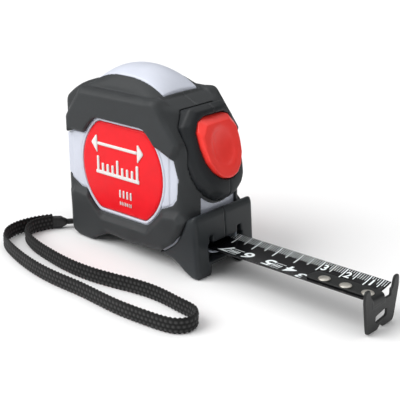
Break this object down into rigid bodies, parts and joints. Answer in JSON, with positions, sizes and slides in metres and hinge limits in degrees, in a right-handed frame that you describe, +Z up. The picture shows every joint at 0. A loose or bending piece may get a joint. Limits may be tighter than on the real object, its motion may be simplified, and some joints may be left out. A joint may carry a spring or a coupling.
{
  "type": "tape measure",
  "caption": "Pocket tape measure: rubber-armoured case with side badges, front release button, extended black steel blade with riveted end hook, belt clip and woven wrist strap.",
  "frame": {"origin": "on the table, straight under the reel axis, on the case's parting plane", "axes": "+X towards the mouth, the way the blade is pulled; +Y towards the belt clip side; +Z up"},
  "size_m": [0.1543, 0.0819, 0.0744],
  "materials": {
    "shell_abs": "satin moulded ABS, cool white",
    "armour_rubber": "fine matt overmoulded rubber, dark grey",
    "nose_plastic": "fine-grained moulded plastic, dark grey",
    "badge_red": "glossy printed plate, red",
    "button_red": "satin moulded plastic, red",
    "reel_plastic": "moulded acetal, black",
    "washer_nylon": "natural nylon",
    "blade_print": "lacquered spring steel, black with white scale",
    "spring_steel": "blued spring steel",
    "hook_black": "black oxide, satin",
    "rivet_steel": "plain steel, set heads",
    "screw_steel": "dark zinc",
    "clip_steel": "satin nickel-plated spring steel",
    "webbing": "woven polyester, black",
    "crimp_plastic": "moulded PVC, black"
  },
  "bodies": {
    "case": {"case_left": "shell_abs", "case_right": "shell_abs", "overmold_left": "armour_rubber", "overmold_right": "armour_rubber", "nose_left": "nose_plastic", "nose_right": "nose_plastic", "button_pod_left": "armour_rubber", "button_pod_right": "armour_rubber", "badge_left": "badge_red", "badge_right": "badge_red", "badge_frame_left": "shell_abs", "badge_frame_right": "shell_abs", "reel_washer_left": "washer_nylon", "reel_washer_right": "washer_nylon", "top_panel": "shell_abs", "arbor": "reel_plastic", "blade_lead": "blade_print", "mainspring": "spring_steel", "mouth_guide": "shell_abs", "lever_pin": "rivet_steel", "brake_spring": "spring_steel", "case_screws": "screw_steel", "clip_plate": "clip_steel", "clip_screw": "screw_steel", "wrist_strap": "webbing", "strap_crimp": "crimp_plastic", "strap_neck": "webbing", "strap_pin": "rivet_steel"},
    "reel": {"reel": "reel_plastic", "reel_cover": "reel_plastic", "blade_coil": "blade_print"},
    "blade": {"blade": "blade_print", "hook_rivets": "rivet_steel"},
    "hook": {"hook": "hook_black"},
    "button": {"release_button": "button_red"},
    "brake": {"brake_lever": "reel_plastic"},
    "clip": {"belt_clip": "clip_steel"}
  },
  "joints": [
    {"name": "reel_spin", "type": "hinge", "parent": "case", "child": "reel", "pos_m": [0, 0, 0.0343], "axis": [0, 1, 0], "range_deg": [0, 156.5], "deforming": ["mainspring", "blade_lead"]},
    {"name": "blade_slide", "type": "slide", "parent": "case", "child": "blade", "axis": [0.9992, 0, 0.0401], "range_m": [-0.0665, 0]},
    {"name": "hook_float", "type": "slide", "parent": "blade", "child": "hook", "axis": [0.9992, 0, 0.0401], "range_m": [-0.001, 0]},
    {"name": "button_press", "type": "slide", "parent": "case", "child": "button", "axis": [-0.9379, 0, -0.3469], "range_m": [0, 0.0025], "stiffness_N_per_m": 300, "springref_m": -0.001},
    {"name": "brake_swing", "type": "hinge", "parent": "case", "child": "brake", "pos_m": [0.0289, 0, 0.02745], "axis": [0, -1, 0], "range_deg": [0, 9.5], "deforming": ["brake_spring"]},
    {"name": "clip_flex", "type": "hinge", "parent": "case", "child": "clip", "pos_m": [-0.00067, 0.01751, 0.05099], "axis": [0.9992, 0, 0.0401], "range_deg": [0, 8], "stiffness_Nm_per_rad": 0.05}
  ],
  "couplings": [
    {"joint": "blade_slide", "follows": "reel_spin", "m_per_rad": -0.0243},
    {"joint": "brake_swing", "follows": "button_press", "rad_per_m": 54}
  ]
}
